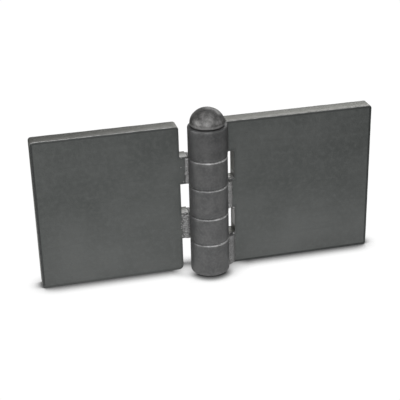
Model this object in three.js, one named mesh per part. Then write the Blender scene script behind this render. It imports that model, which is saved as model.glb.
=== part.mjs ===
// Weld-on gate hinge: two square plates, a barrel of five knuckles in front of them, and a loose
// pin with a domed head. Millimetres, +Z up. The origin is on the hinge axis at the barrel's foot,
// +X runs along the right leaf and +Y points out of the plates' weld faces. The hinge is modelled
// flat open, with both plates in one plane.
import * as THREE from 'three';

// Barrel
const BARREL_R = 12.7;
const BORE_R = 6.5;
const BARREL_SEGMENTS = 64;
const KNUCKLE_GAP = 0.3; // running gap between neighbouring knuckles
const KNUCKLE_CHAMFER = 0.6;
const BORE_CHAMFER = 0.4;

// Knuckles from the top down: the leaf that carries each one, and its length
const KNUCKLES = [
  { name: 'top', leaf: 'right', length: 20.9 },
  { name: 'upper', leaf: 'left', length: 19.2 },
  { name: 'middle', leaf: 'right', length: 20.2 },
  { name: 'lower', leaf: 'left', length: 18.6 },
  { name: 'bottom', leaf: 'right', length: 22.7 },
];
const HINGE_HEIGHT = KNUCKLES.reduce((sum, knuckle) => sum + knuckle.length, 0);

// Leaves: both weld faces lie level with the back of the barrel
const PLATE_THICKNESS = 10;
const PLATE_BACK_Y = BARREL_R;
const PLATE_FRONT_Y = PLATE_BACK_Y - PLATE_THICKNESS;
const PLATE_INNER_X = 17.9;
const PLATE_OUTER_X = 111;
const PLATE_CORNER_R = 2;

// Welds between each plate's tabs and its knuckles
const WELD_GAP = 0.3;
const WELD_END = 0.6; // a bead stops this far short of each end of its tab
const FRONT_WELD_REACH_X = 16.4; // toe of the front bead on the tab
const FRONT_WELD_REACH_Y = -1.2; // toe of the front bead on the knuckle
const FRONT_WELD_CROWN = 0.5;
const WELD_ARC_STEPS = 6;

// A tab stops short of the knuckle, where its front face meets the barrel
const TAB_INNER_X = Math.sqrt(BARREL_R ** 2 - PLATE_FRONT_Y ** 2) + WELD_GAP;

// Pin
const PIN_R = 6.35;
const PIN_FOOT_Z = 1;
const PIN_FOOT_CHAMFER = 1.4;
const HEAD_R = 11.3;
const HEAD_SEAT_R = 9.4;
const HEAD_SEAT_GAP = 0.3;
const HEAD_RIM_RISE = 1.6; // height of the head's widest line above the barrel
const HEAD_RISE = 11.5; // height of the dome above the barrel
const HEAD_ARC_STEPS = 12;

const SIDE = { right: 1, left: -1 };

const MATERIALS = {
  plate: steel(0x5c5f5e, 0.62, 0.55),
  knuckle: steel(0x626463, 0.5, 0.7),
  weld: steel(0x6d6f6d, 0.55, 0.6),
  pin: steel(0x6a6b69, 0.42, 0.75),
};

function steel(color, roughness, metalness) {
  return new THREE.MeshStandardMaterial({ color, roughness, metalness });
}

function mesh(name, geometry, material) {
  const part = new THREE.Mesh(geometry, material);
  part.name = name;
  return part;
}

// Points on an arc about (cx, cy), from one angle to another, both ends included.
function arcPoints(cx, cy, rx, ry, from, to, steps) {
  const points = [];
  for (let i = 0; i <= steps; i += 1) {
    const angle = from + ((to - from) * i) / steps;
    points.push(new THREE.Vector2(cx + rx * Math.cos(angle), cy + ry * Math.sin(angle)));
  }
  return points;
}

// Each knuckle with its height range, less half the running gap at each end it shares.
function knuckleSpans() {
  let top = HINGE_HEIGHT;
  return KNUCKLES.map((knuckle, index) => {
    const bottom = top - knuckle.length;
    const span = {
      ...knuckle,
      top: index === 0 ? top : top - KNUCKLE_GAP / 2,
      bottom: index === KNUCKLES.length - 1 ? 0 : bottom + KNUCKLE_GAP / 2,
    };
    top = bottom;
    return span;
  });
}

// A plate seen from the front, for the +X side: square, with a tab toward each of its knuckles.
function plateShape(tabs) {
  const low = PLATE_CORNER_R;
  const high = HINGE_HEIGHT - PLATE_CORNER_R;
  const outer = PLATE_OUTER_X - PLATE_CORNER_R;
  const inner = PLATE_INNER_X + PLATE_CORNER_R;
  const shape = new THREE.Shape();
  shape.moveTo(outer, 0);
  shape.absarc(outer, low, PLATE_CORNER_R, -Math.PI / 2, 0, false);
  shape.absarc(outer, high, PLATE_CORNER_R, 0, Math.PI / 2, false);
  if (tabs[0].top < HINGE_HEIGHT) {
    shape.absarc(inner, high, PLATE_CORNER_R, Math.PI / 2, Math.PI, false);
  }
  for (const tab of tabs) {
    if (tab.top < HINGE_HEIGHT) {
      shape.lineTo(PLATE_INNER_X, tab.top);
    }
    shape.lineTo(TAB_INNER_X, tab.top);
    shape.lineTo(TAB_INNER_X, tab.bottom);
    if (tab.bottom > 0) {
      shape.lineTo(PLATE_INNER_X, tab.bottom);
    }
  }
  if (tabs[tabs.length - 1].bottom > 0) {
    shape.absarc(inner, low, PLATE_CORNER_R, Math.PI, 1.5 * Math.PI, false);
  }
  shape.closePath();
  return shape;
}

function mirrored(points, side) {
  return new THREE.Shape(points.map((point) => new THREE.Vector2(side * point.x, point.y)));
}

function leafPlate(leaf, tabs) {
  const curveSegments = 6;
  const outline = mirrored(plateShape(tabs).getPoints(curveSegments), SIDE[leaf]);
  const geometry = new THREE.ExtrudeGeometry(outline, {
    depth: PLATE_THICKNESS,
    bevelEnabled: false,
  });
  geometry.rotateX(Math.PI / 2);
  geometry.translate(0, PLATE_BACK_Y, 0);
  return mesh(`${leaf}_leaf_plate`, geometry, MATERIALS.plate);
}

// One knuckle: a bored tube with its corners broken.
function knuckle(span) {
  const { top, bottom } = span;
  const profile = [
    new THREE.Vector2(BORE_R + BORE_CHAMFER, bottom),
    new THREE.Vector2(BARREL_R - KNUCKLE_CHAMFER, bottom),
    new THREE.Vector2(BARREL_R, bottom + KNUCKLE_CHAMFER),
    new THREE.Vector2(BARREL_R, top - KNUCKLE_CHAMFER),
    new THREE.Vector2(BARREL_R - KNUCKLE_CHAMFER, top),
    new THREE.Vector2(BORE_R + BORE_CHAMFER, top),
    new THREE.Vector2(BORE_R, top - BORE_CHAMFER),
    new THREE.Vector2(BORE_R, bottom + BORE_CHAMFER),
    new THREE.Vector2(BORE_R + BORE_CHAMFER, bottom),
  ];
  return mesh(`${span.leaf}_knuckle_${span.name}`, lathe(profile), MATERIALS.knuckle);
}

// Turns a profile about +Z. Its points run anticlockwise: outwards at the foot, then up.
function lathe(profile) {
  const geometry = new THREE.LatheGeometry(profile, BARREL_SEGMENTS);
  geometry.rotateX(Math.PI / 2);
  return geometry;
}

// Bead in the crease between the barrel and the front face of a tab.
function frontWeldSection() {
  const innerR = BARREL_R + WELD_GAP;
  const tabY = PLATE_FRONT_Y - WELD_GAP;
  const barrel = arcPoints(
    0,
    0,
    innerR,
    innerR,
    Math.asin(FRONT_WELD_REACH_Y / innerR),
    Math.asin(tabY / innerR),
    WELD_ARC_STEPS,
  );
  const toeOnBarrel = barrel[0];
  const toeOnTab = new THREE.Vector2(FRONT_WELD_REACH_X, tabY);
  const across = toeOnBarrel.clone().sub(toeOnTab);
  const outward = new THREE.Vector2(-across.y, across.x).normalize();
  const face = [];
  for (let i = 0; i < WELD_ARC_STEPS; i += 1) {
    const along = i / WELD_ARC_STEPS;
    const crown = FRONT_WELD_CROWN * Math.sin(Math.PI * along);
    face.push(toeOnTab.clone().addScaledVector(across, along).addScaledVector(outward, crown));
  }
  return [...barrel, ...face];
}

// Bead in the flared groove behind a tab's square end, dressed level with the weld face.
function backWeldSection() {
  const innerR = BARREL_R + WELD_GAP;
  const grooveX = TAB_INNER_X - WELD_GAP;
  const backY = PLATE_BACK_Y - WELD_GAP;
  const barrel = arcPoints(
    0,
    0,
    innerR,
    innerR,
    Math.acos(grooveX / innerR),
    Math.asin(backY / innerR),
    2 * WELD_ARC_STEPS,
  );
  return [...barrel, new THREE.Vector2(grooveX, backY)];
}

function weld(span, face, section) {
  const bottom = span.bottom + WELD_END;
  const top = span.top - WELD_END;
  const geometry = new THREE.ExtrudeGeometry(mirrored(section, SIDE[span.leaf]), {
    depth: top - bottom,
    bevelEnabled: false,
  });
  geometry.translate(0, 0, bottom);
  return mesh(`${span.leaf}_weld_${span.name}_${face}`, geometry, MATERIALS.weld);
}

// Loose pin: a plain shank with a chamfered foot, and a domed head that sits on the barrel.
function hingePin() {
  const seatZ = HINGE_HEIGHT + HEAD_SEAT_GAP;
  const rimZ = HINGE_HEIGHT + HEAD_RIM_RISE;
  const edgeR = HEAD_R - HEAD_SEAT_R;
  const domeRise = HEAD_RISE - HEAD_RIM_RISE;
  const lowerEdge = arcPoints(HEAD_SEAT_R, rimZ, edgeR, rimZ - seatZ, -Math.PI / 2, 0, 4);
  const dome = arcPoints(0, rimZ, HEAD_R, domeRise, 0, Math.PI / 2, HEAD_ARC_STEPS);
  dome[dome.length - 1].x = 0;
  const profile = [
    new THREE.Vector2(0, PIN_FOOT_Z),
    new THREE.Vector2(PIN_R - PIN_FOOT_CHAMFER, PIN_FOOT_Z),
    new THREE.Vector2(PIN_R, PIN_FOOT_Z + PIN_FOOT_CHAMFER),
    new THREE.Vector2(PIN_R, seatZ),
    ...lowerEdge,
    ...dome.slice(1),
  ];
  return mesh('hinge_pin', lathe(profile), MATERIALS.pin);
}

function hinge() {
  const group = new THREE.Group();
  const spans = knuckleSpans();
  for (const leaf of Object.keys(SIDE)) {
    group.add(leafPlate(leaf, spans.filter((span) => span.leaf === leaf)));
  }
  for (const span of spans) {
    group.add(knuckle(span));
    group.add(weld(span, 'front', frontWeldSection()));
    group.add(weld(span, 'back', backWeldSection()));
  }
  group.add(hingePin());
  return group;
}

export default hinge();
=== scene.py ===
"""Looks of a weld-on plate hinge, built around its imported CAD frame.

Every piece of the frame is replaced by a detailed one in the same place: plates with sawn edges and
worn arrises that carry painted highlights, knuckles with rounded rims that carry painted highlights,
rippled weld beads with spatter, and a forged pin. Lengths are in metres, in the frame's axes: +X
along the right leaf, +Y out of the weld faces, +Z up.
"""
import math
import random

import bpy
from mathutils import Matrix, Vector, noise


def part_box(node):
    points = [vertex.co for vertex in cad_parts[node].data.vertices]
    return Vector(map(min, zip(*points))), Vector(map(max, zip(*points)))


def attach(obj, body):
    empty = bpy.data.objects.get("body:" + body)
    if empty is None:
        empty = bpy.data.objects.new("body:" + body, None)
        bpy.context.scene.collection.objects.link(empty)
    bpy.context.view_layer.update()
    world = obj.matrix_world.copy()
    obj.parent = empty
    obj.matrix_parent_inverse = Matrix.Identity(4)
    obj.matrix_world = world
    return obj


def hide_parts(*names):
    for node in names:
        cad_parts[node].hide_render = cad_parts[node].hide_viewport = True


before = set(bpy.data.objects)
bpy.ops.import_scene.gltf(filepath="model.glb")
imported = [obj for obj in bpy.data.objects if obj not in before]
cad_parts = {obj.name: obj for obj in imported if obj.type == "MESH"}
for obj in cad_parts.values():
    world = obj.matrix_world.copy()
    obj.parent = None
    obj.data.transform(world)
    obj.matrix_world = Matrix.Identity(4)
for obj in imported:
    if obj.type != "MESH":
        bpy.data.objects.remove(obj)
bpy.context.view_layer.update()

MM = 0.001
SIDES = {"right": 1, "left": -1}
KNUCKLES = {"top": "right", "upper": "left", "middle": "right", "lower": "left", "bottom": "right"}

# Sizes that the frame's boxes give
PLATE_LOW, PLATE_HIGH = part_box("right_leaf_plate")
BARREL_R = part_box("right_knuckle_top")[1].x
HEIGHT = PLATE_HIGH.z
FRONT_Y = PLATE_LOW.y
BACK_Y = PLATE_HIGH.y
TAB_X = PLATE_LOW.x
OUTER_X = PLATE_HIGH.x
PIN_FOOT, PIN_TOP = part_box("hinge_pin")

# Sizes inside those boxes, as the CAD has them
PLATE_INNER_X = 17.9 * MM
PLATE_CORNER_R = 2.0 * MM
BORE_R = 6.5 * MM
PIN_R = 6.35 * MM
HEAD_R = 11.3 * MM
HEAD_SEAT_GAP = 0.3 * MM
HEAD_RIM_RISE = 1.6 * MM

# Sizes that the photo shows, and the plainer CAD doesn't have
LOOSE_CORNER_R = 3.0 * MM  # lower inner corner of the left plate
HEAD_SEAT_R = 10.8 * MM  # flat underside of the pin's head


# ---------------------------------------------------------------- camera, light and stage

VIEW_AZIMUTH = math.radians(13.1)
VIEW_ELEVATION = math.radians(25.18)
VIEW_ROLL = math.radians(-1.51)
VIEW_DISTANCE = 690.8 * MM
VIEW_TARGET = Vector((-5.85, 0.0, 50.42)) * MM
VIEW_LENS = 96.35

ROOM_LIGHT = 0.12

# The floor as the hinge mirrors it, a painted pool of light: palest at this place and at its mirror
# images in x and y, and darker outwards over a range of distances
FLOOR_HALF = 20.0
LIGHT_POOL_PLACE = (0.03, 0.05, 0.0)
LIGHT_POOL_RANGE = (0.05, 0.24)
LIGHT_POOL_TONES = (1.0, 0.05)

# The floor as the camera sees it: white, with soft shade where something is near. A range of
# openness or of distance goes to a range of tones
CONTACT_SHADE_REACH = 15 * MM
CONTACT_RANGE = (0.44, 0.95)
CONTACT_TONES = (0.08, 1.02)
BARREL_SHADE_PLACE = (-0.0008, -0.0042, 0.0)
BARREL_SHADE_RANGE = (9.5 * MM, 16.5 * MM)
BARREL_SHADE_TONES = (0.3, 1.0)

# Light that gets in on either side of the barrel's foot: its place, the share of the shade that it
# takes away there, and the distances between which it fades out
GAP_LIGHTS = [
    ((-0.016, 0.001, 0.0), 0.6, 2 * MM, 11 * MM),
    ((0.0175, -0.0045, 0.0), 0.5, 2 * MM, 12 * MM),
]


def make_camera():
    camera = bpy.data.objects.new("camera", bpy.data.cameras.new("camera"))
    bpy.context.scene.collection.objects.link(camera)
    flat = math.cos(VIEW_ELEVATION)
    back = Vector((
        -math.sin(VIEW_AZIMUTH) * flat,
        -math.cos(VIEW_AZIMUTH) * flat,
        math.sin(VIEW_ELEVATION),
    ))
    level = Vector((math.cos(VIEW_AZIMUTH), -math.sin(VIEW_AZIMUTH), 0.0))
    upright = back.cross(level)
    right = math.cos(VIEW_ROLL) * level + math.sin(VIEW_ROLL) * upright
    up = math.cos(VIEW_ROLL) * upright - math.sin(VIEW_ROLL) * level
    turn = Matrix((right, up, back)).transposed().to_4x4()
    camera.matrix_world = Matrix.Translation(VIEW_TARGET + back * VIEW_DISTANCE) @ turn
    camera.data.sensor_width = 36.0
    camera.data.lens = VIEW_LENS
    camera.data.clip_end = 50.0
    bpy.context.scene.camera = camera


def area_light(name, place, size, power):
    """A soft rectangular light that faces the hinge and doesn't show in the picture."""
    data = bpy.data.lights.new(name, "AREA")
    data.shape = "RECTANGLE"
    data.size, data.size_y = size
    data.energy = power
    light = bpy.data.objects.new(name, data)
    bpy.context.scene.collection.objects.link(light)
    light.location = place
    light.rotation_euler = (VIEW_TARGET - place).to_track_quat("-Z", "Y").to_euler()
    light.visible_camera = False


def make_world():
    """A dim room for the lights to work in, and plain white where the camera looks past the floor."""
    world = bpy.data.worlds.new("studio")
    bpy.context.scene.world = world
    world.use_nodes = True
    tree = world.node_tree
    room = tree.nodes["Background"]
    room.inputs["Color"].default_value = (1.0, 1.0, 1.0, 1.0)
    room.inputs["Strength"].default_value = ROOM_LIGHT
    white = tree.nodes.new("ShaderNodeBackground")
    white.inputs["Color"].default_value = (1.0, 1.0, 1.0, 1.0)
    seen = tree.nodes.new("ShaderNodeLightPath").outputs["Is Camera Ray"]
    choice = tree.nodes.new("ShaderNodeMixShader")
    tree.links.new(seen, choice.inputs["Fac"])
    tree.links.new(room.outputs[0], choice.inputs[1])
    tree.links.new(white.outputs[0], choice.inputs[2])
    tree.links.new(choice.outputs[0], tree.nodes["World Output"].inputs["Surface"])


def make_stage():
    """A white sheet: it shows as white with soft shade where something stands on it, and it throws
    back less light the further it is from the hinge."""
    mesh = bpy.data.meshes.new("floor")
    half = FLOOR_HALF
    corners = [(-half, -half, 0.0), (half, -half, 0.0), (half, half, 0.0), (-half, half, 0.0)]
    mesh.from_pydata(corners, [], [(0, 1, 2, 3)])
    floor = bpy.data.objects.new("floor", mesh)
    bpy.context.scene.collection.objects.link(floor)
    g = Graph("floor_paper")
    quarter = g.node("ShaderNodeVectorMath", operation="ABSOLUTE")
    g.link(g.place, quarter.inputs[0])
    # painted pool of light, for the floor as the hinge reflects it
    from_light_pool = g.distance(quarter.outputs[0], LIGHT_POOL_PLACE)
    paper = g.node("ShaderNodeBsdfDiffuse")
    g.link(g.band(from_light_pool, *LIGHT_POOL_RANGE, *LIGHT_POOL_TONES), paper.inputs["Color"])
    openness = g.node("ShaderNodeAmbientOcclusion")
    openness.inputs["Distance"].default_value = CONTACT_SHADE_REACH
    contact = g.band(openness.outputs["AO"], *CONTACT_RANGE, *CONTACT_TONES, smooth=True)
    from_barrel = g.distance(g.place, BARREL_SHADE_PLACE)
    barrel_shade = g.band(from_barrel, *BARREL_SHADE_RANGE, *BARREL_SHADE_TONES, smooth=True)
    tone = g.math("MULTIPLY", contact, barrel_shade)
    for place, share, near, far in GAP_LIGHTS:
        lifted = g.band(g.distance(g.place, place), near, far, share, 0.0, smooth=True)
        tone = g.blend(lifted, tone, 1.0)
    shown = g.node("ShaderNodeEmission")
    g.link(tone, shown.inputs["Strength"])
    choice = g.node("ShaderNodeMixShader")
    g.link(g.node("ShaderNodeLightPath").outputs["Is Camera Ray"], choice.inputs["Fac"])
    g.link(paper.outputs[0], choice.inputs[1])
    g.link(shown.outputs[0], choice.inputs[2])
    g.link(choice.outputs[0], g.tree.nodes["Material Output"].inputs["Surface"])
    g.tree.nodes.remove(g.shader)
    mesh.materials.append(g.material)


def toward(azimuth, elevation, distance):
    """A place that far from the hinge's middle; azimuth is degrees from straight ahead, +X positive."""
    turn, lift = math.radians(azimuth), math.radians(elevation)
    return VIEW_TARGET + distance * Vector((
        math.sin(turn) * math.cos(lift),
        -math.cos(turn) * math.cos(lift),
        math.sin(lift),
    ))


def make_lights():
    area_light("key", toward(-10, 14, 1.3), (1.0, 0.45), 8.5)
    area_light("overhead", toward(-8, 52, 1.2), (1.4, 0.8), 7.8)
    area_light("near_top", toward(-8, 94, 0.45), (0.6, 0.15), 0.45)
    area_light("left_fill", toward(-85, 8, 1.2), (1.1, 0.7), 11.0)
    area_light("right_fill", toward(70, 8, 1.2), (1.0, 0.7), 5.0)
    area_light("behind", toward(146, 27, 1.2), (1.0, 0.4), 4.8)
    area_light("back_fill", toward(170, 8, 1.4), (1.8, 0.6), 3.4)


# ---------------------------------------------------------------- materials

GRAZING_TINT = (0.6, 0.6, 0.6, 1.0)


class Graph:
    """A material's node tree, with short calls for the nodes that the materials share."""

    def __init__(self, name):
        self.material = bpy.data.materials.new(name)
        self.material.use_nodes = True
        self.tree = self.material.node_tree
        self.shader = self.tree.nodes["Principled BSDF"]
        self.place = self.node("ShaderNodeTexCoord").outputs["Object"]

    def node(self, kind, **settings):
        made = self.tree.nodes.new(kind)
        for key, value in settings.items():
            setattr(made, key, value)
        return made

    def link(self, source, target):
        if hasattr(source, "links"):
            self.tree.links.new(source, target)
        else:
            target.default_value = source

    def noise(self, size, detail=4.0, roughness=0.55, stretch=(1.0, 1.0, 1.0), shift=0.0):
        """Noise whose features are about size metres across, drawn out by stretch along each axis."""
        mapping = self.node("ShaderNodeMapping")
        self.link(self.place, mapping.inputs["Vector"])
        mapping.inputs["Location"].default_value = (shift, shift * 0.7, shift * 1.3)
        mapping.inputs["Scale"].default_value = [1.0 / (size * s) for s in stretch]
        made = self.node("ShaderNodeTexNoise")
        self.link(mapping.outputs["Vector"], made.inputs["Vector"])
        made.inputs["Scale"].default_value = 1.0
        made.inputs["Detail"].default_value = detail
        made.inputs["Roughness"].default_value = roughness
        return made.outputs["Fac"]

    def distance(self, place, point):
        made = self.node("ShaderNodeVectorMath", operation="DISTANCE")
        self.link(place, made.inputs[0])
        made.inputs[1].default_value = point
        return made.outputs["Value"]

    def axes(self):
        """The place's three coordinates, by the names X, Y and Z."""
        made = self.node("ShaderNodeSeparateXYZ")
        self.link(self.place, made.inputs[0])
        return made.outputs

    def band(self, value, low, high, to_low=0.0, to_high=1.0, smooth=False):
        """value from low to high, mapped to to_low to to_high and held at the ends."""
        made = self.node("ShaderNodeMapRange")
        made.interpolation_type = "SMOOTHSTEP" if smooth else "LINEAR"
        self.link(value, made.inputs["Value"])
        made.inputs["From Min"].default_value = low
        made.inputs["From Max"].default_value = high
        made.inputs["To Min"].default_value = to_low
        made.inputs["To Max"].default_value = to_high
        return made.outputs["Result"]

    def math(self, operation, a, b=0.0):
        made = self.node("ShaderNodeMath", operation=operation)
        self.link(a, made.inputs[0])
        self.link(b, made.inputs[1])
        return made.outputs["Value"]

    def mix(self, share, a, b):
        made = self.node("ShaderNodeMix", data_type="RGBA")
        self.link(share, made.inputs["Factor"])
        self.link(a, made.inputs[6])
        self.link(b, made.inputs[7])
        return made.outputs[2]

    def blend(self, share, a, b):
        made = self.node("ShaderNodeMix", data_type="FLOAT")
        self.link(share, made.inputs["Factor"])
        self.link(a, made.inputs[2])
        self.link(b, made.inputs[3])
        return made.outputs[0]

    def attribute(self, name):
        return self.node("ShaderNodeAttribute", attribute_name=name).outputs["Fac"]

    def bump(self, height, depth, normal=None):
        made = self.node("ShaderNodeBump")
        self.link(height, made.inputs["Height"])
        made.inputs["Strength"].default_value = 1.0
        made.inputs["Distance"].default_value = depth
        if normal is not None:
            self.link(normal, made.inputs["Normal"])
        return made.outputs["Normal"]

    def finish(self, colour, roughness, normal, metallic):
        self.link(colour, self.shader.inputs["Base Color"])
        self.link(roughness, self.shader.inputs["Roughness"])
        self.link(normal, self.shader.inputs["Normal"])
        self.shader.inputs["Metallic"].default_value = metallic
        self.shader.inputs["Specular Tint"].default_value = GRAZING_TINT
        return self.material


def grey(level, warm=0.0):
    """A grey of that linear level; warm moves it towards red, and below zero towards blue-green."""
    return (level * (1.0 + warm), level, level * (1.0 - warm), 1.0)


def plate_steel():
    """Hot-rolled plate: dark mill scale on the faces, a little paler towards the foot in painted light from
    the floor, with a darker band along the cuts that is painted shade along the foot, paler sawn edges,
    and rubbed arrises that carry a painted highlight where they face up. The "cut" mask runs past 1 on
    the notch sides and tab tops, where it carries a painted highlight."""
    g = Graph("plate_steel")
    clouds = g.noise(34 * MM, 2.0, 0.5)
    mottle = g.noise(3.2 * MM, 6.0, 0.6, shift=3.0)
    speck = g.noise(0.5 * MM, 3.0, 0.6, shift=7.0)
    rolled = g.noise(1.3 * MM, 4.0, 0.6, stretch=(22.0, 1.0, 1.0), shift=11.0)
    sawn = g.noise(0.5 * MM, 5.0, 0.65, stretch=(14.0, 1.0, 14.0), shift=5.0)
    face = g.mix(g.band(clouds, 0.3, 0.7), (0.079, 0.084, 0.081, 1.0), (0.103, 0.108, 0.105, 1.0))
    face = g.mix(g.band(mottle, 0.45, 0.75, 0.0, 0.6), face, (0.125, 0.132, 0.128, 1.0))
    face = g.mix(g.band(rolled, 0.55, 0.8, 0.0, 0.3), face, (0.065, 0.071, 0.068, 1.0))
    face = g.mix(g.band(speck, 0.6, 0.78, 0.0, 0.4), face, grey(0.17))
    face = g.mix(g.band(speck, 0.42, 0.27, 0.0, 0.45), face, grey(0.045))
    # painted light from the floor: the faces are a little paler towards the foot
    face = g.mix(g.band(g.axes()["Z"], 0.0, 60 * MM, 0.18, 0.0), face, grey(0.16))
    # a darker band along the cut edges; along the foot it is painted shade where the plate meets the floor
    darkening_and_painted_shade = g.math("MULTIPLY", g.attribute("darkening_and_painted_shade"), g.band(mottle, 0.3, 0.6, 0.6, 1.0))
    face = g.mix(darkening_and_painted_shade, face, (0.045, 0.048, 0.047, 1.0))
    cut = g.mix(g.band(sawn, 0.35, 0.7), (0.105, 0.105, 0.095, 1.0), (0.225, 0.225, 0.205, 1.0))
    # painted highlight on the notch sides and tab tops, where the cut mask runs past 1
    cut = g.mix(g.band(g.attribute("cut"), 1.0, 2.0), cut, grey(0.75))
    colour = g.mix(g.attribute("cut"), face, cut)
    # painted highlight on arrises and top edges that face up, on top of their rubbing
    rub_and_highlight = g.math("MULTIPLY", g.attribute("wear_and_highlight"), g.band(mottle, 0.35, 0.6, 0.35, 1.0))
    colour = g.mix(rub_and_highlight, colour, grey(0.36, 0.01))
    rough = g.band(mottle, 0.3, 0.7, 0.44, 0.56)
    rough = g.blend(g.attribute("cut"), rough, g.band(sawn, 0.3, 0.7, 0.38, 0.52))
    normal = g.bump(mottle, 0.05 * MM)
    normal = g.bump(speck, 0.02 * MM, normal)
    sawn_height = g.math("MULTIPLY", sawn, g.attribute("cut"))
    normal = g.bump(sawn_height, 0.08 * MM, normal)
    return g.finish(colour, rough, normal, 0.75)


TOP_KNUCKLE_SHADE_FADE = (79 * MM, 83 * MM)  # heights just below and above the top knuckle's foot, over which painted shade under the pin's head fades in


def barrel_steel():
    """Drawn tube: neutral grey, with fine rings round the barrel. The rims are worn bright and carry a
    painted highlight, less so to the left, the barrel's sides are a shade paler in painted light, and the
    top knuckle is a shade darker in painted shade under the pin's head."""
    g = Graph("barrel_steel")
    patches = g.noise(9 * MM, 3.0, 0.5, shift=2.0)
    mottle = g.noise(1.6 * MM, 6.0, 0.6, shift=4.0)
    rings = g.noise(0.35 * MM, 4.0, 0.6, stretch=(30.0, 30.0, 1.0), shift=9.0)
    colour = g.mix(g.band(patches, 0.35, 0.65), grey(0.086, -0.01), grey(0.114))
    colour = g.mix(g.band(mottle, 0.45, 0.75, 0.0, 0.6), colour, grey(0.165))
    colour = g.mix(g.band(mottle, 0.42, 0.28, 0.0, 0.4), colour, grey(0.07))
    colour = g.mix(g.band(rings, 0.55, 0.75, 0.0, 0.3), colour, grey(0.075))
    axes = g.axes()
    sideways = g.math("ABSOLUTE", axes["X"])
    # painted light: the barrel's sides are a shade paler
    colour = g.mix(g.band(sideways, 6 * MM, 12.5 * MM, 0.0, 0.16), colour, grey(0.2))
    # painted shade under the pin's head: the top knuckle is a shade darker
    colour = g.mix(g.band(axes["Z"], *TOP_KNUCKLE_SHADE_FADE, 0.0, 0.17), colour, grey(0.03))
    # painted highlight on the worn rims, less to the left
    rub_and_highlight = g.math("MULTIPLY", g.attribute("wear_and_highlight"), g.band(mottle, 0.35, 0.6, 0.4, 1.0))
    rub_and_highlight = g.math("MULTIPLY", rub_and_highlight, g.band(patches, 0.4, 0.56, 0.45, 1.0))
    rub_and_highlight = g.math("MULTIPLY", rub_and_highlight, g.band(axes["X"], -12 * MM, -4 * MM, 0.1, 1.0))
    colour = g.mix(rub_and_highlight, colour, grey(0.9))
    rough = g.band(mottle, 0.3, 0.7, 0.44, 0.58)
    normal = g.bump(rings, 0.015 * MM)
    normal = g.bump(mottle, 0.03 * MM, normal)
    return g.finish(colour, rough, normal, 0.8)


def pin_steel():
    """Forged pin: a dark, faintly scaled dome, and a cleaner turned shank."""
    g = Graph("pin_steel")
    patches = g.noise(4 * MM, 4.0, 0.6, shift=1.0)
    mottle = g.noise(1.1 * MM, 5.0, 0.65, shift=6.0)
    rings = g.noise(0.3 * MM, 4.0, 0.6, stretch=(40.0, 40.0, 1.0), shift=8.0)
    head = g.mix(g.band(patches, 0.38, 0.62), grey(0.082, 0.015), grey(0.14, 0.015))
    head = g.mix(g.band(mottle, 0.5, 0.75, 0.0, 0.6), head, grey(0.24, 0.01))
    head = g.mix(g.band(mottle, 0.44, 0.3, 0.0, 0.6), head, grey(0.05, 0.01))
    shank = g.mix(g.band(rings, 0.35, 0.7), grey(0.26), grey(0.38))
    colour = g.mix(g.attribute("cut"), head, shank)
    colour = g.mix(g.attribute("wear_and_highlight"), colour, grey(0.3, 0.01))
    rough = g.band(mottle, 0.3, 0.7, 0.34, 0.5)
    normal = g.bump(patches, 0.2 * MM)
    normal = g.bump(mottle, 0.05 * MM, normal)
    return g.finish(colour, rough, normal, 0.8)


def weld_metal():
    """Weld beads as laid: paler than the plate, speckled, and darker where the darkening_and_painted_shade
    mask says, which in part is painted shade in the crease beside the knuckle.
    The "cut" mask makes a bead coarse-grained."""
    g = Graph("weld_metal")
    patches = g.noise(2.4 * MM, 4.0, 0.6, shift=1.5)
    speck = g.noise(0.6 * MM, 4.0, 0.6, shift=2.5)
    colour = g.mix(g.band(patches, 0.35, 0.65), grey(0.15, 0.01), grey(0.25, 0.01))
    colour = g.mix(g.band(speck, 0.5, 0.7, 0.0, 0.8), colour, grey(0.55))
    colour = g.mix(g.band(speck, 0.42, 0.3, 0.0, 0.7), colour, grey(0.035))
    colour = g.mix(g.attribute("wear_and_highlight"), colour, grey(0.4))
    grain = g.noise(0.9 * MM, 3.0, 0.6, shift=4.5)
    bright = g.math("MULTIPLY", g.attribute("cut"), g.band(grain, 0.5, 0.6))
    dark = g.math("MULTIPLY", g.attribute("cut"), g.band(grain, 0.46, 0.38))
    colour = g.mix(bright, colour, grey(0.48))
    colour = g.mix(dark, colour, grey(0.03))
    # darker in the darkening mask, in part painted shade in the crease beside the knuckle
    colour = g.mix(g.attribute("darkening_and_painted_shade"), colour, grey(0.035))
    rough = g.band(patches, 0.3, 0.7, 0.38, 0.55)
    normal = g.bump(speck, 0.12 * MM)
    return g.finish(colour, rough, normal, 0.8)


# ---------------------------------------------------------------- mesh helpers

def ripple(x, y, z, size, seed=0.0):
    """Smooth noise from -1 to 1, with features about size metres across."""
    return noise.noise(Vector((x / size + seed, y / size - seed, z / size + 2.0 * seed)))


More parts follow.
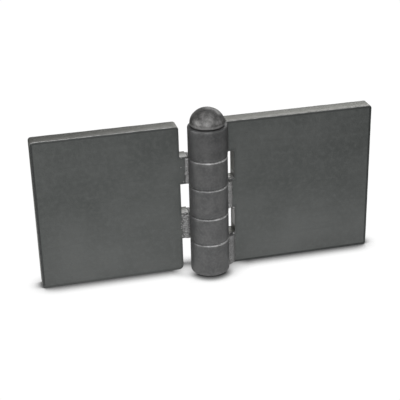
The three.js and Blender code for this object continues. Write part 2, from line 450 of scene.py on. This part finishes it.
class Shell:
    """Points, faces and three masks, gathered into one mesh object."""

    def __init__(self):
        self.points = []
        self.faces = []
        self.masks = {"wear_and_highlight": [], "cut": [], "darkening_and_painted_shade": []}

    def point(self, place, wear_and_highlight=0.0, cut=0.0, darkening_and_painted_shade=0.0):
        self.points.append(tuple(place))
        self.masks["wear_and_highlight"].append(wear_and_highlight)
        self.masks["cut"].append(cut)
        self.masks["darkening_and_painted_shade"].append(darkening_and_painted_shade)
        return len(self.points) - 1

    def strip(self, ring_a, ring_b):
        """Quads between two rings of point numbers with equal counts."""
        count = len(ring_a)
        for i in range(count):
            j = (i + 1) % count
            self.faces.append((ring_a[i], ring_a[j], ring_b[j], ring_b[i]))

    def cap(self, ring, flip=False):
        self.faces.append(tuple(reversed(ring)) if flip else tuple(ring))

    def piece(self, name, material, body, flat_faces=()):
        """The mesh object, smooth but for flat_faces, riding its body in its material slot."""
        mesh = bpy.data.meshes.new(name)
        mesh.from_pydata(self.points, [], self.faces)
        for mask, values in self.masks.items():
            attribute = mesh.attributes.new(mask, "FLOAT", "POINT")
            attribute.data.foreach_set("value", values)
        mesh.polygons.foreach_set("use_smooth", [True] * len(self.faces))
        for index in flat_faces:
            mesh.polygons[index].use_smooth = False
        mesh.materials.append(material)
        mesh.validate()
        made = bpy.data.objects.new(name, mesh)
        bpy.context.scene.collection.objects.link(made)
        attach(made, body)
        return made


def arc(cx, cy, radius, start, end, steps):
    """Points on an arc, from start to end degrees, both included."""
    angles = [math.radians(start + (end - start) * i / steps) for i in range(steps + 1)]
    return [(cx + radius * math.cos(a), cy + radius * math.sin(a)) for a in angles]


def revolve(shell, profile, segments, shape):
    """Turns (radius, z, wear_and_highlight, cut) points about +Z. shape moves each point; rings of no
    radius close.
    """
    rings = []
    for radius, z, wear_and_highlight, cut in profile:
        if radius < 1e-9:
            rings.append([shell.point(shape(0.0, 0.0, z, 0.0), wear_and_highlight, cut)])
            continue
        ring = []
        for i in range(segments):
            angle = 2.0 * math.pi * i / segments
            place = shape(math.cos(angle), math.sin(angle), z, radius)
            ring.append(shell.point(place, wear_and_highlight, cut))
        rings.append(ring)
    for lower, upper in zip(rings, rings[1:]):
        for i in range(segments):
            j = (i + 1) % segments
            if len(lower) == 1:
                shell.faces.append((lower[0], upper[j], upper[i]))
            elif len(upper) == 1:
                shell.faces.append((lower[i], lower[j], upper[0]))
            else:
                shell.faces.append((lower[i], lower[j], upper[j], upper[i]))
    return rings


# ---------------------------------------------------------------- leaf plates

ARRIS_R = 0.45 * MM
ARRIS_STEPS = 4
EDGE_PITCH = 1.0 * MM
EDGE_RINGS = 9
CORNER_STEPS = 6
FACE_MARGIN = 1.8 * MM  # the flat face stops this far from the edge
DARK_BAND_MARGIN = 1.45 * MM  # the darker band is full between here and the arris
FOOT_SHADE_HEIGHT = 2 * MM
FOOT_SHADE_SHARE = {"right": 1.0, "left": 0.4}  # share of the darker band that is left along the foot, as painted shade where the plate meets the floor
INNER_LEAN = {"right": 0.0, "left": 0.4 * MM}  # how far the inner edge leans to the barrel at its foot
LEAN_REACH = 20 * MM  # how far across the face the lean fades out
PLATE_SEEDS = {"right": 3.0, "left": 8.0}
THICKNESS = BACK_Y - FRONT_Y

# How much painted highlight the cut surfaces in the notches get, in the plate's upper half and in its lower
# half
NOTCH_HIGHLIGHT = (1.05, 1.5)
# the same painted highlight on the tab tops, for each plate
TAB_TOP_HIGHLIGHT = {"right": (1.5, 1.05), "left": (1.4, 1.4)}


def plate_outline(spans):
    """The plate's outline seen from the front, for the +X side, as (x, z) points."""
    r = PLATE_CORNER_R
    points = arc(OUTER_X - r, r, r, -90, 0, CORNER_STEPS)
    points += arc(OUTER_X - r, HEIGHT - r, r, 0, 90, CORNER_STEPS)
    if spans[0][1] < HEIGHT - MM:
        points += arc(PLATE_INNER_X + r, HEIGHT - r, r, 90, 180, CORNER_STEPS)
    for low, high in spans:
        if high < HEIGHT - MM:
            points.append((PLATE_INNER_X, high))
        points.append((TAB_X, high))
        points.append((TAB_X, low))
        if low > MM:
            points.append((PLATE_INNER_X, low))
    if spans[-1][0] > MM:
        r = LOOSE_CORNER_R
        points += arc(PLATE_INNER_X + r, r, r, 180, 270, CORNER_STEPS)
    return points


def inward_steps(points):
    """At each outline point, the step that moves both neighbouring edges in by one unit."""
    count = len(points)
    steps = []
    for i in range(count):
        before = Vector(points[i]) - Vector(points[i - 1])
        after = Vector(points[(i + 1) % count]) - Vector(points[i])
        normal_a = Vector((-before.y, before.x)).normalized()
        normal_b = Vector((-after.y, after.x)).normalized()
        middle = (normal_a + normal_b).normalized()
        steps.append(middle / max(0.3, middle.dot(normal_a)))
    return steps


def subdivided(points, pitch):
    """The closed outline as (point, inward step) pairs, with none more than pitch apart."""
    steps = inward_steps(points)
    dense = []
    for i, start in enumerate(points):
        j = (i + 1) % len(points)
        parts = max(1, math.ceil((Vector(points[j]) - Vector(start)).length / pitch))
        for k in range(parts):
            share = k / parts
            dense.append((Vector(start).lerp(Vector(points[j]), share), steps[i].lerp(steps[j], share)))
    return dense


def plate_levels():
    """Rings across an arris, from the face to the edge, as (inset, depth, wear_and_highlight, cut,
    darkening_and_painted_shade).
    """
    levels = [(FACE_MARGIN, 0.0, 0.0, 0.0, 0.0), (DARK_BAND_MARGIN, 0.0, 0.0, 0.0, 1.0)]
    for i in range(ARRIS_STEPS + 1):
        turn = 0.5 * math.pi * i / ARRIS_STEPS
        wear_and_highlight = math.sin(2.0 * turn) ** 0.5 if 0 < i < ARRIS_STEPS else 0.1
        inset, depth = ARRIS_R * (1 - math.sin(turn)), ARRIS_R * (1 - math.cos(turn))
        levels.append((inset, depth, wear_and_highlight, i / ARRIS_STEPS, 1.0 - i / ARRIS_STEPS))
    return levels


def plate_rows():
    """Rings from the front face round the edge to the back face: the levels, with their zone."""
    levels = plate_levels()
    rows = [level + ("front",) for level in levels]
    for i in range(1, EDGE_RINGS + 1):
        depth = ARRIS_R + (THICKNESS - 2 * ARRIS_R) * i / (EDGE_RINGS + 1)
        rows.append((0.0, depth, 0.0, 1.0, 0.0, "edge"))
    rows += [(inset, THICKNESS - y, *masks, "back") for inset, y, *masks in reversed(levels)]
    return rows


def lean(leaf, x, z):
    """x moved for the lean of a plate's inner edge, which fades out along the tabs and across the face."""
    if x < PLATE_INNER_X:
        share = (x - TAB_X) / (PLATE_INNER_X - TAB_X)
    else:
        share = max(0.0, 1.0 - (x - PLATE_INNER_X) / LEAN_REACH)
    return x - INNER_LEAN[leaf] * share * (1.0 - z / HEIGHT)


def worn_in(row, x, z, seed):
    """How far a ring's point lies in from the outline, and how deep behind the front face."""
    inset, depth, _, cut, _, zone = row
    near, sink = inset, depth
    if inset < 1.5 * ARRIS_R and zone != "edge":
        blunt = 1.0 + 0.5 * max(-0.6, ripple(x, depth, z, 9 * MM, seed))
        nick = ripple(x, 0.0 if zone == "front" else 1.0, z, 5 * MM, seed + 20)
        blunt += 1.6 * max(0.0, nick - 0.45)
        near = inset * blunt
        sink = depth * blunt if zone == "front" else THICKNESS - (THICKNESS - depth) * blunt
    if zone == "edge" or cut == 1.0:
        near += 0.05 * MM * (1.0 + ripple(x, 14.0 * depth, z, 7 * MM, seed + 5))
        near += 0.02 * MM * (1.0 + ripple(x, 40.0 * depth, z, 5 * MM, seed + 9))
    return near, sink


def plate_masks(leaf, row, x, z, step, sink):
    """(wear_and_highlight, cut, darkening_and_painted_shade) at a ring's point. Edges that face up get a
    painted highlight on top of their rubbing. The darker band beside the cuts is weaker round the
    notches, and painted shade darkens the arrises that don't face up and the plate's foot. Painted light
    on the cuts fades towards the back and is strongest on the notch sides and tab tops."""
    _, _, wear_and_highlight, cut, darkening_and_painted_shade, zone = row
    in_notch = x < PLATE_INNER_X + 0.01 * MM and MM < z < HEIGHT - MM
    upward = 0.0 if in_notch else max(0.0, -step.y) ** 2
    # painted highlight on edges that face up
    rub_and_highlight = wear_and_highlight * (0.1 + 0.9 * upward)
    if zone == "edge":
        rub_and_highlight = 0.6 * upward * max(0.0, 1.0 - sink / (4 * MM))
    # painted light on the cuts, fading towards the back
    cut_and_highlight = cut * (1.0 - 0.5 * (sink / THICKNESS) ** 2)
    if in_notch:
        notch_highlights = TAB_TOP_HIGHLIGHT[leaf] if -step.y > 0.5 else NOTCH_HIGHLIGHT
        cut_and_highlight *= notch_highlights[z < 0.5 * HEIGHT]
    darkening = darkening_and_painted_shade
    if cut < 1.0:
        # the arrises get this painted light only where they face up
        cut_and_highlight *= upward
        # painted shade: arrises that don't face up are darker
        darkening = max(darkening_and_painted_shade, cut) * (0.3 if in_notch else 1.0 - 0.2 * upward)
    # painted shade along the foot, where the plate meets the floor
    if darkening_and_painted_shade == 1.0 and z < FOOT_SHADE_HEIGHT:
        darkening *= FOOT_SHADE_SHARE[leaf]
    return rub_and_highlight, cut_and_highlight, darkening


def leaf_plate(leaf, spans, material):
    side = SIDES[leaf]
    outline = subdivided(plate_outline(spans), EDGE_PITCH)
    shell = Shell()
    rings = []
    for row in plate_rows():
        ring = []
        for (x, z), step in outline:
            near, sink = worn_in(row, x, z, PLATE_SEEDS[leaf])
            place = (side * (lean(leaf, x, z) + step.x * near), FRONT_Y + sink, z + step.y * near)
            ring.append(shell.point(place, *plate_masks(leaf, row, x, z, step, sink)))
        rings.append(ring if side > 0 else ring[::-1])
    for outer, inner in zip(rings, rings[1:]):
        shell.strip(inner, outer)
    caps = [len(shell.faces), len(shell.faces) + 1]
    shell.cap(rings[0])
    shell.cap(rings[-1], flip=True)
    plate = shell.piece(f"{leaf}_plate", material, f"{leaf}_leaf", caps)
    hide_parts(f"{leaf}_leaf_plate")


# ---------------------------------------------------------------- knuckles

KNUCKLE_SEGMENTS = 160
KNUCKLE_RINGS = 10
UPPER_RIM_R = 1.0 * MM
LOWER_RIM_R = 0.5 * MM
FOOT_RIM_R = 1.3 * MM
RIM_STEPS = 6
BORE_RIM = 0.4 * MM
FLAT_INSET = 2.5 * MM  # each end has a ring of undented points this far inside the wall
DENTED_INSET = 2 * MM  # the dents reach this far inside the wall
# worn rims with a painted highlight, upper and lower
UPPER_RIM_WEAR_AND_HIGHLIGHT = 0.95
LOWER_RIM_WEAR_AND_HIGHLIGHT = 0.03
BORE_RIM_WEAR = 0.4


def knuckle(name, leaf, material):
    low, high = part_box(f"{leaf}_knuckle_{name}")
    seed = 10.0 * list(KNUCKLES).index(name)
    lower_r = FOOT_RIM_R if name == "bottom" else LOWER_RIM_R
    # the top knuckle's upper rim, in the pin head's shade, gets no painted highlight
    upper_wear_and_highlight = 0.0 if name == "top" else UPPER_RIM_WEAR_AND_HIGHLIGHT
    wall_low, wall_high = low.z + lower_r, high.z - UPPER_RIM_R
    profile = [
        (BORE_R, low.z + BORE_RIM, 0.0, 1.0),
        (BORE_R + BORE_RIM, low.z, BORE_RIM_WEAR, 0.0),
        (BARREL_R - FLAT_INSET, low.z, 0.0, 0.0),
    ]
    for radius, z in arc(BARREL_R - lower_r, wall_low, lower_r, -90, 0, RIM_STEPS):
        profile.append((radius, z, LOWER_RIM_WEAR_AND_HIGHLIGHT, 0.0))
    for i in range(1, KNUCKLE_RINGS):
        profile.append((BARREL_R, wall_low + (wall_high - wall_low) * i / KNUCKLE_RINGS, 0.0, 0.0))
    upper_rim = arc(BARREL_R - UPPER_RIM_R, wall_high, UPPER_RIM_R, 0, 90, RIM_STEPS)
    for i, (radius, z) in enumerate(upper_rim):
        profile.append((radius, z, upper_wear_and_highlight * min(1.0, 1.25 * i / RIM_STEPS), 0.0))
    profile += [
        (BARREL_R - FLAT_INSET, high.z, 0.0, 0.0),
        (BORE_R + BORE_RIM, high.z, BORE_RIM_WEAR, 0.0),
        (BORE_R, high.z - BORE_RIM, 0.0, 1.0),
    ]

    def shape(x, y, z, radius):
        if radius < BARREL_R - DENTED_INSET:
            return (x * radius, y * radius, z)
        dent = 0.012 * (1.0 + ripple(x, y, z / (6 * MM), 0.8, seed))
        if z > wall_high or z < wall_low:
            dent += 0.05 * (1.0 + ripple(x, y, 0.0, 0.22, seed + z / MM))
        out = radius - dent * MM
        return (x * out, y * out, z)

    shell = Shell()
    rings = revolve(shell, profile, KNUCKLE_SEGMENTS, shape)
    shell.strip(rings[-1], rings[0])
    made = shell.piece(f"{leaf}_{name}_knuckle", material, f"{leaf}_leaf")
    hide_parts(f"{leaf}_knuckle_{name}")


# ---------------------------------------------------------------- pin

PIN_SEGMENTS = 128
PIN_FOOT_CHAMFER = 1.6 * MM
FOOT_CORNER_ALONG, FOOT_CORNER_ACROSS = 0.3 * MM, 0.1 * MM  # the chamfer's two corners are broken
SHANK_RINGS = 40
SHANK_TOP_BAND = 1.0 * MM  # the shank has no rings in its last stretch, under the head
SEAT_EDGE_BAND = 1.0 * MM  # the seat's flat ends this far inside its edge
HEAD_EDGE_STEPS = 6
DOME_STEPS = 30
RIM_WEAR = 0.7
DOME_EDGE_WEAR = 0.5
SEAT_Z = HEIGHT + HEAD_SEAT_GAP
RIM_Z = HEIGHT + HEAD_RIM_RISE
DOME_RISE = PIN_TOP.z - RIM_Z


def pin_profile():
    """(radius, z, wear, cut) points from the middle of the foot to the crown of the head."""
    foot = PIN_FOOT.z
    shank_low = foot + PIN_FOOT_CHAMFER
    shank_length = SEAT_Z - SHANK_TOP_BAND - shank_low
    profile = [
        (0.0, foot, 0.0, 1.0),
        (PIN_R - PIN_FOOT_CHAMFER, foot, 0.1, 1.0),
        (PIN_R - PIN_FOOT_CHAMFER + FOOT_CORNER_ALONG, foot + FOOT_CORNER_ACROSS, 0.3, 1.0),
        (PIN_R - FOOT_CORNER_ACROSS, shank_low - FOOT_CORNER_ALONG, 0.3, 1.0),
        (PIN_R, shank_low, 0.1, 1.0),
    ]
    for i in range(1, SHANK_RINGS):
        profile.append((PIN_R, shank_low + shank_length * i / SHANK_RINGS, 0.0, 1.0))
    profile += [(PIN_R, SEAT_Z, 0.0, 1.0), (HEAD_SEAT_R - SEAT_EDGE_BAND, SEAT_Z, 0.0, 0.0)]
    for i in range(HEAD_EDGE_STEPS + 1):
        turn = 0.5 * math.pi * i / HEAD_EDGE_STEPS
        radius = HEAD_SEAT_R + (HEAD_R - HEAD_SEAT_R) * math.sin(turn)
        wear_and_highlight = RIM_WEAR if i > HEAD_EDGE_STEPS // 2 else 0.0
        profile.append((radius, RIM_Z - (RIM_Z - SEAT_Z) * math.cos(turn), wear_and_highlight, 0.0))
    for i in range(1, DOME_STEPS + 1):
        turn = 0.5 * math.pi * i / DOME_STEPS
        radius = HEAD_R * math.cos(turn) if i < DOME_STEPS else 0.0
        wear_and_highlight = DOME_EDGE_WEAR if i == 1 else 0.0
        profile.append((radius, RIM_Z + DOME_RISE * math.sin(turn), wear_and_highlight, 0.0))
    return profile


def hinge_pin(material):
    """The loose pin. Its shank is true, and its forged head is a little uneven."""

    def shape(x, y, z, radius):
        px, py = x * radius, y * radius
        if z < SEAT_Z + 0.01 * MM:
            return (px, py, z)
        dent = 0.10 * MM * (1.0 + ripple(px, py, z, 6 * MM, 4.0))
        dent += 0.03 * MM * (1.0 + ripple(px, py, z, 1.8 * MM, 9.0))
        scale = 1.0 - dent / max(radius, 4 * MM)
        return (px * scale, py * scale, z - dent * max(0.0, (z - RIM_Z) / DOME_RISE))

    shell = Shell()
    revolve(shell, pin_profile(), PIN_SEGMENTS, shape)
    made = shell.piece("domed_pin", material, "pin")
    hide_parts("hinge_pin")


# ---------------------------------------------------------------- welds

WELD_PITCH = 0.25 * MM
WELD_ACROSS = 14
FRONT_END_GAP, FRONT_END_R = 0.25 * MM, 1.3 * MM
BACK_END_GAP, BACK_END_R = 0.2 * MM, 1.0 * MM
BACK_TOE = 74.0  # where a back bead meets the barrel, in degrees round the axis from its own leaf
BACK_DRESSING = 0.12 * MM  # the back bead is ground off this far below the weld face
RIPPLE_PITCH = 1.15 * MM
BACK_RIPPLE_PITCH = 1.5 * MM
BARREL_TOE = {"right": -9.0, "left": 4.0}  # the same for the front beads; below zero is in front

# The front beads, in millimetres. toe is where a bead ends on the tab, measured from the hinge axis,
# and swell is its fullness. lumps says how uneven it is, spatter how many drops lie round it, and
# grain and darkening_and_painted_shade are its masks; on the top bead the darkening is painted shade
# in the crease beside the knuckle. A blob is (x, y, end of the knuckle, rise above that end, radius).
FRONT_WELDS = {
    "top": {
        # the top bead's strong darkening is painted shade in the crease beside the top knuckle
        "toe": 14.0, "swell": 0.1, "lumps": 0.4, "spatter": 0, "grain": 0.1, "darkening_and_painted_shade": 0.85,
        "blobs": [],
    },
    "upper": {
        "toe": 14.7, "swell": 0.25, "lumps": 0.6, "spatter": 2, "grain": 0.1, "darkening_and_painted_shade": 0.3,
        "blobs": [(16.8, 2.7, "high", -0.3, 0.7)],
    },
    "middle": {
        "toe": 16.7, "swell": 0.6, "lumps": 0.8, "spatter": 0, "grain": 0.15, "darkening_and_painted_shade": 0.0,
        "blobs": [(14.6, 3.6, "high", 0.1, 0.9), (17.2, 3.3, "low", -0.9, 1.1)],
    },
    "lower": {
        "toe": 17.9, "swell": 0.7, "lumps": 2.4, "spatter": 30, "grain": 0.6, "darkening_and_painted_shade": 0.46,
        "blobs": [
            (15.4, 2.2, "high", -0.2, 1.0),
            (17.2, 2.6, "high", -1.4, 0.8),
            (17.4, 2.4, "low", 2.0, 0.9),
        ],
    },
    "bottom": {
        "toe": 18.0, "swell": 0.5, "lumps": 0.8, "spatter": 0, "grain": 0.15, "darkening_and_painted_shade": 0.35,
        "blobs": [(16.9, 2.4, "high", -0.6, 0.7)],
    },
}


def bead(shell, low, high, skin, buried, end_r, hollow, grain=0.0, darkening_and_painted_shade=0.0):
    """Rings of a bead from low to high. skin(z, u) is its outer point across u, and buried closes the
    section. Within end_r of each end it draws in towards the point hollow, as a bead does there."""
    steps = max(8, round((high - low) / WELD_PITCH))
    rings = []
    for i in range(steps + 1):
        z = low + (high - low) * i / steps
        near = min(z - low, high - z) / end_r
        grown = 1.0 if near >= 1.0 else 0.25 + 0.75 * math.sqrt(max(0.0, 1.0 - (1.0 - near) ** 2))
        section = [skin(z, k / WELD_ACROSS) + (grain, darkening_and_painted_shade) for k in range(WELD_ACROSS + 1)]
        section += [(x, y, 0.0, 0.0, 0.0) for x, y in buried]
        ring = []
        for x, y, *masks in section:
            place = (hollow[0] + (x - hollow[0]) * grown, hollow[1] + (y - hollow[1]) * grown, z)
            ring.append(shell.point(place, *masks))
        rings.append(ring)
    return rings


def ripples(z, u, seed, pitch):
    """Height of the crescent ripples, 0 to 1, bowed across the bead."""
    bow = 0.55 * (2.0 * u - 1.0) ** 2
    wander = 0.25 * ripple(0.0, u, z, 4 * MM, seed)
    phase = z / pitch - bow + wander
    return abs(math.sin(math.pi * phase)) ** 0.7


def spatter_drop(shell, centre, normal, radius, seed):
    """A small flattened drop of weld metal, half sunk in the surface at centre."""
    rows, around = 6, 9
    across = normal.orthogonal().normalized()
    along = normal.cross(across)
    rings = []
    for i in range(rows + 1):
        turn = math.pi * i / rows
        width = radius * math.sin(turn)
        lift = 0.75 * radius * math.cos(turn)
        if i in (0, rows):
            rings.append([shell.point(centre + normal * lift, 0.1)])
            continue
        ring = []
        for k in range(around):
            angle = 2.0 * math.pi * k / around
            bulge = width * (1.0 + 0.2 * ripple(math.cos(angle), math.sin(angle), lift / radius, 0.9, seed))
            offset = across * (math.cos(angle) * bulge) + along * (math.sin(angle) * bulge)
            ring.append(shell.point(centre + offset + normal * lift, 0.05))
        rings.append(ring)
    for upper, lower in zip(rings, rings[1:]):
        for k in range(around):
            j = (k + 1) % around
            if len(upper) == 1:
                shell.faces.append((upper[0], lower[k], lower[j]))
            elif len(lower) == 1:
                shell.faces.append((upper[j], upper[k], lower[0]))
            else:
                shell.faces.append((upper[k], lower[k], lower[j], upper[j]))


def close_bead(shell, rings):
    for lower, upper in zip(rings, rings[1:]):
        shell.strip(lower, upper)
    shell.cap(rings[0], flip=True)
    shell.cap(rings[-1])


def mirror(shell, side):
    """Moves what was made for the +X side over to the other side, where side is -1."""
    if side < 0:
        shell.points = [(-x, y, z) for x, y, z in shell.points]
        shell.faces = [face[::-1] for face in shell.faces]


def front_skin(traits, barrel_toe, seed):
    """The outer surface of a front bead, from its toe on the barrel to its toe on the tab."""
    toe_x = traits["toe"] * MM
    lumps = traits["lumps"] * MM

    def skin(z, u):
        turn = barrel_toe + math.radians(2.2) * ripple(0.0, 0.0, z, 3 * MM, seed)
        start = Vector((BARREL_R * math.cos(turn), BARREL_R * math.sin(turn)))
        end = Vector((toe_x + 0.45 * MM * ripple(0.0, 0.0, z, 2.5 * MM, seed + 3), FRONT_Y))
        across = end - start
        out = Vector((across.y, -across.x)).normalized()
        belly = math.sin(math.pi * u)
        crest = ripples(z, u, seed, RIPPLE_PITCH)
        height = traits["swell"] * MM * belly
        height += 0.22 * MM * crest * belly ** 0.5
        height += 0.16 * lumps * ripple(u, 0.0, z, 1.4 * MM, seed + 8) * belly
        height += 0.09 * lumps * ripple(2.0 * MM * u, 0.0, z, 0.6 * MM, seed + 2) * belly
        place = start + across * u + out * height
        return place.x, place.y, 0.5 * crest * belly

    return skin


def add_spatter(shell, traits, low, high, seed):
    """Drops of weld metal thrown on the tab, and the bead's larger blobs. A lumpy bead draws again for
    a place on itself."""
    toe_x = traits["toe"] * MM
    chance = random.Random(int(seed))
    for _ in range(traits["spatter"]):
        x = chance.uniform(toe_x + 0.3 * MM, toe_x + 4.5 * MM)
        if traits["lumps"] > 1.0:
            x = chance.uniform(14 * MM, toe_x + 0.3 * MM)
        z = chance.uniform(low + 1.5 * MM, high - 1.5 * MM)
        lift = (traits["swell"] + 0.5) * MM if x < toe_x else 0.0
        radius = chance.uniform(0.2, 0.55) * MM
        spatter_drop(shell, Vector((x, FRONT_Y - lift, z)), Vector((0, -1, 0)), radius, seed)
    outward = Vector((-0.4, -0.8, 0.3)).normalized()
    for x, y, end, rise, radius in traits["blobs"]:
        z = (high if end == "high" else low) + rise * MM
        spatter_drop(shell, Vector((x * MM, y * MM, z)), outward, radius * MM, seed)


def front_weld(name, leaf, material):
    """The fillet in the crease between a knuckle and the front face of its tab."""
    low, high = (corner.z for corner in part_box(f"{leaf}_knuckle_{name}"))
    traits = FRONT_WELDS[name]
    seed = 5.0 + 7.0 * list(KNUCKLES).index(name)
    barrel_toe = math.radians(BARREL_TOE[leaf])
    skin = front_skin(traits, barrel_toe, seed)
    sunk_y = FRONT_Y + 0.6 * MM
    inside_r = 0.95 * BARREL_R
    buried = [
        (traits["toe"] * MM - 0.3 * MM, sunk_y),
        (11.9 * MM, sunk_y),
        (inside_r * math.cos(barrel_toe), inside_r * math.sin(barrel_toe)),
    ]
    crease = (12.6 * MM, FRONT_Y)
    masks = (traits["grain"], traits["darkening_and_painted_shade"])
    shell = Shell()
    span = (low + FRONT_END_GAP, high - FRONT_END_GAP)
    close_bead(shell, bead(shell, *span, skin, buried, FRONT_END_R, crease, *masks))
    add_spatter(shell, traits, low, high, seed)
    mirror(shell, SIDES[leaf])
    made = shell.piece(f"{leaf}_{name}_front_weld", material, f"{leaf}_leaf")
    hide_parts(f"{leaf}_weld_{name}_front")


def back_weld(name, leaf, material):
    """The bead in the flared groove behind a tab's square end, dressed just below the weld face."""
    low, high = (corner.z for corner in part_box(f"{leaf}_knuckle_{name}"))
    seed = 40.0 + 7.0 * list(KNUCKLES).index(name)
    dressed = BACK_Y - BACK_DRESSING

    def skin(z, u):
        turn = math.radians(BACK_TOE) + math.radians(2.5) * ripple(0.0, 0.0, z, 3 * MM, seed)
        start = Vector((TAB_X + 0.2 * MM, BACK_Y - 0.35 * MM))
        end = Vector((BARREL_R * math.cos(turn), BARREL_R * math.sin(turn) - 0.02 * MM))
        crest = ripples(z, u, seed, BACK_RIPPLE_PITCH)
        height = (0.25 + 0.35 * crest) * math.sin(math.pi * u) ** 0.5 * MM
        place = start + (end - start) * u + Vector((0.0, height))
        ground = place.y > dressed
        return place.x, min(place.y, dressed), 0.4 if ground else 0.2 * crest

    buried = arc(0.0, 0.0, 0.96 * BARREL_R, 70, 16, 8)
    buried.append((TAB_X + 0.3 * MM, FRONT_Y + 0.4 * MM))
    groove = (12.0 * MM, 7.0 * MM)
    shell = Shell()
    span = (low + BACK_END_GAP, high - BACK_END_GAP)
    close_bead(shell, bead(shell, *span, skin, buried, BACK_END_R, groove))
    mirror(shell, SIDES[leaf])
    made = shell.piece(f"{leaf}_{name}_back_weld", material, f"{leaf}_leaf")
    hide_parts(f"{leaf}_weld_{name}_back")


# ---------------------------------------------------------------- assembly

make_camera()
make_world()
make_stage()
make_lights()
bpy.context.scene.view_settings.view_transform = "Standard"

plate_look = plate_steel()
barrel_look = barrel_steel()
weld_look = weld_metal()
for leaf in SIDES:
    held = [name for name, owner in KNUCKLES.items() if owner == leaf]
    boxes = [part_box(f"{leaf}_knuckle_{name}") for name in held]
    leaf_plate(leaf, [(low.z, high.z) for low, high in boxes], plate_look)
for name, leaf in KNUCKLES.items():
    knuckle(name, leaf, barrel_look)
    front_weld(name, leaf, weld_look)
    back_weld(name, leaf, weld_look)
hinge_pin(pin_steel())
